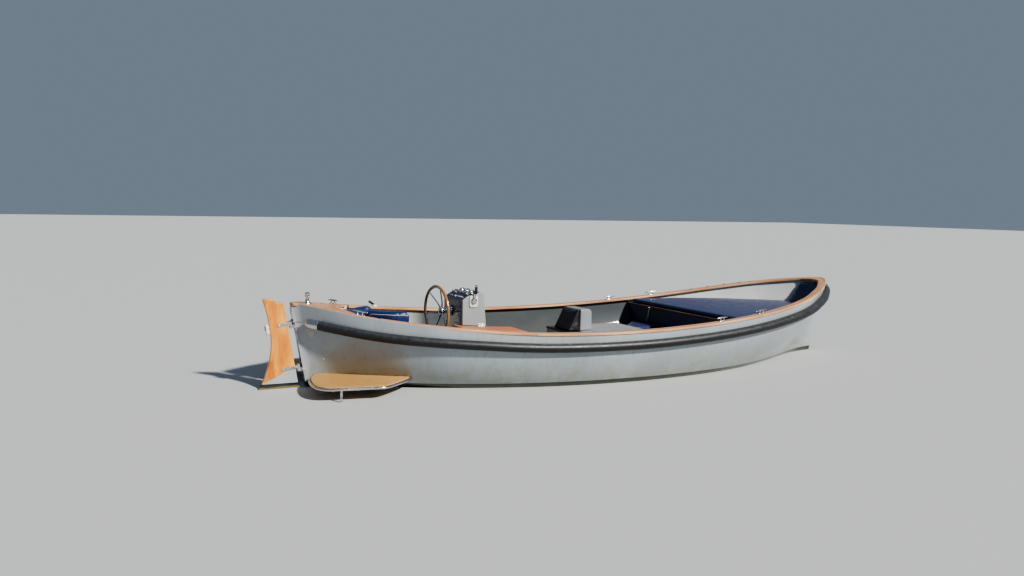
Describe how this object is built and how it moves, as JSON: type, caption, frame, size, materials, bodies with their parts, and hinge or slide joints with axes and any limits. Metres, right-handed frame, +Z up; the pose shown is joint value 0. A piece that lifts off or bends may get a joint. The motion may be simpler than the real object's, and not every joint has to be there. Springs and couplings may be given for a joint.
{
  "type": "motor launch",
  "caption": "Open double-ended motor launch afloat, with teak rails, round rubbing fender, stern swim platforms, hung rudder, helm console, cushioned seats and a forward sun deck",
  "frame": {"origin": "On the centreline at the waterline, amidships of the hull", "axes": "+X towards the bow, +Y to port, +Z up"},
  "size_m": [7.2422, 2.4509, 1.571],
  "materials": {
    "hull_paint": "semi-gloss grey",
    "bottom_paint": "matte black antifouling",
    "teak": "weathered, oiled",
    "rudder_wood": "varnished",
    "stainless": "polished",
    "bronze": "cast",
    "rope_fender": "matte, worn",
    "moulding": "satin gelcoat",
    "navy_vinyl": "woven marine upholstery",
    "dark_panel": "satin",
    "black_vinyl": "smooth upholstery",
    "wheel_wood": "varnished",
    "engine_paint": "painted"
  },
  "bodies": {
    "hull": {"hull_shell": "hull_paint", "keel_skeg": "bottom_paint", "sternpost": "hull_paint", "cap_rail_starboard": "teak", "cap_rail_port": "teak", "bow_cap": "teak", "aft_deck": "teak", "fender": "rope_fender", "fender_end_starboard": "stainless", "fender_end_port": "stainless", "platform_board_starboard": "teak", "platform_frame_starboard": "stainless", "platform_board_port": "teak", "platform_frame_port": "stainless", "gudgeon_upper": "stainless", "gudgeon_lower": "stainless", "stern_tube": "bronze", "cockpit_sole": "teak", "stern_bench": "moulding", "stern_seat_cushion": "navy_vinyl", "stern_back_cushion": "navy_vinyl", "fore_bench": "moulding", "fore_cushion_starboard": "navy_vinyl", "fore_cushion_port": "navy_vinyl", "sun_deck_bulkhead": "dark_panel", "sun_deck": "moulding", "sun_cushion": "navy_vinyl", "bow_back_cushion": "navy_vinyl", "side_deck": "teak", "console": "moulding", "console_face": "dark_panel", "wheel_boss": "stainless", "throttle": "stainless", "engine_box": "moulding", "engine_block": "engine_paint", "cleat_fore_starboard": "stainless", "cleat_fore_port": "stainless", "cleat_mid_starboard": "stainless", "cleat_mid_port": "stainless", "cleat_aft_starboard": "stainless", "cleat_aft_port": "stainless", "cross_bollard": "stainless", "nav_light_starboard": "stainless", "nav_light_port": "stainless"},
    "rudder": {"rudder_blade": "rudder_wood", "rudder_strap_upper": "stainless", "rudder_strap_lower": "stainless"},
    "propeller": {"propeller": "bronze", "propeller_shaft": "stainless"},
    "steering_wheel": {"wheel_rim": "wheel_wood", "wheel_spokes": "stainless"},
    "engine_lid": {"engine_lid": "moulding", "lid_backrest": "black_vinyl", "lid_seat_shell": "moulding"}
  },
  "joints": [
    {"name": "rudder_turn", "type": "hinge", "parent": "hull", "child": "rudder", "pos_m": [-3.285, 0, 0], "axis": [-0.1724, 0, 0.985], "range_deg": [-35, 35]},
    {"name": "steering_wheel_turn", "type": "hinge", "parent": "hull", "child": "steering_wheel", "pos_m": [-2.075, -0.41, 0.735], "axis": [0.9938, 0.1115, 0], "range_deg": [-540, 540]},
    {"name": "propeller_spin", "type": "hinge", "parent": "hull", "child": "propeller", "pos_m": [-3.085, 0, -0.245], "axis": [1, 0, 0], "continuous": true},
    {"name": "engine_lid_hinge", "type": "hinge", "parent": "hull", "child": "engine_lid", "pos_m": [0.47, 0, 0.4003], "axis": [0, 1, 0], "range_deg": [0, 75]}
  ],
  "couplings": [
    {"joint": "steering_wheel_turn", "follows": "rudder_turn", "ratio": 15}
  ]
}
